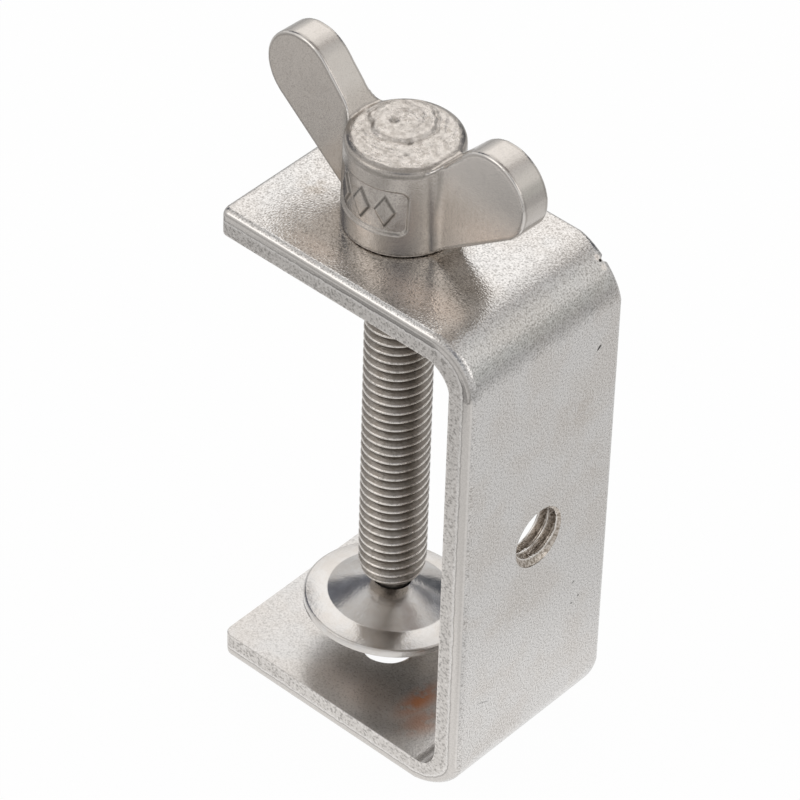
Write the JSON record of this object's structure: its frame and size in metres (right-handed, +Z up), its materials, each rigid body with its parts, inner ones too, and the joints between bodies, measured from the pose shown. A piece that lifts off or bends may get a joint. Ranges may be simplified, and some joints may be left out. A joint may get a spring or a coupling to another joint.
{
  "type": "screw clamp",
  "caption": "Small stainless C-shaped clamp bent from flat bar, with a winged screw through the upper flange, a loose swivel pad and tapped fixing holes in its back and base.",
  "frame": {"origin": "on the screw's axis, at the underside of the lower flange, in the mouth of its tapped hole", "axes": "+Z up along the screw towards its wings, +X out of the bracket's back, jaw open to -X"},
  "size_m": [0.0412, 0.025, 0.0853],
  "materials": {
    "sheared_bar": "granular satin stainless bar, tumbled after shearing and bending",
    "cast_head": "satin investment-cast stainless head, rod with a rolled thread",
    "stamped_disc": "smooth bright stamped stainless"
  },
  "bodies": {
    "frame": {"bracket": "sheared_bar"},
    "pad": {"pressure_pad": "stamped_disc"},
    "screw": {"wing_screw": "cast_head"}
  },
  "joints": [
    {"name": "screw_travel", "type": "slide", "parent": "frame", "child": "pad", "axis": [0, 0, 1], "range_m": [0, 0.048]},
    {"name": "screw_turn", "type": "hinge", "parent": "pad", "child": "screw", "pos_m": [0, 0, 0], "axis": [0, 0, 1], "range_deg": [0, 13824]}
  ],
  "couplings": [
    {"joint": "screw_turn", "follows": "screw_travel", "rad_per_m": 5026.5}
  ]
}
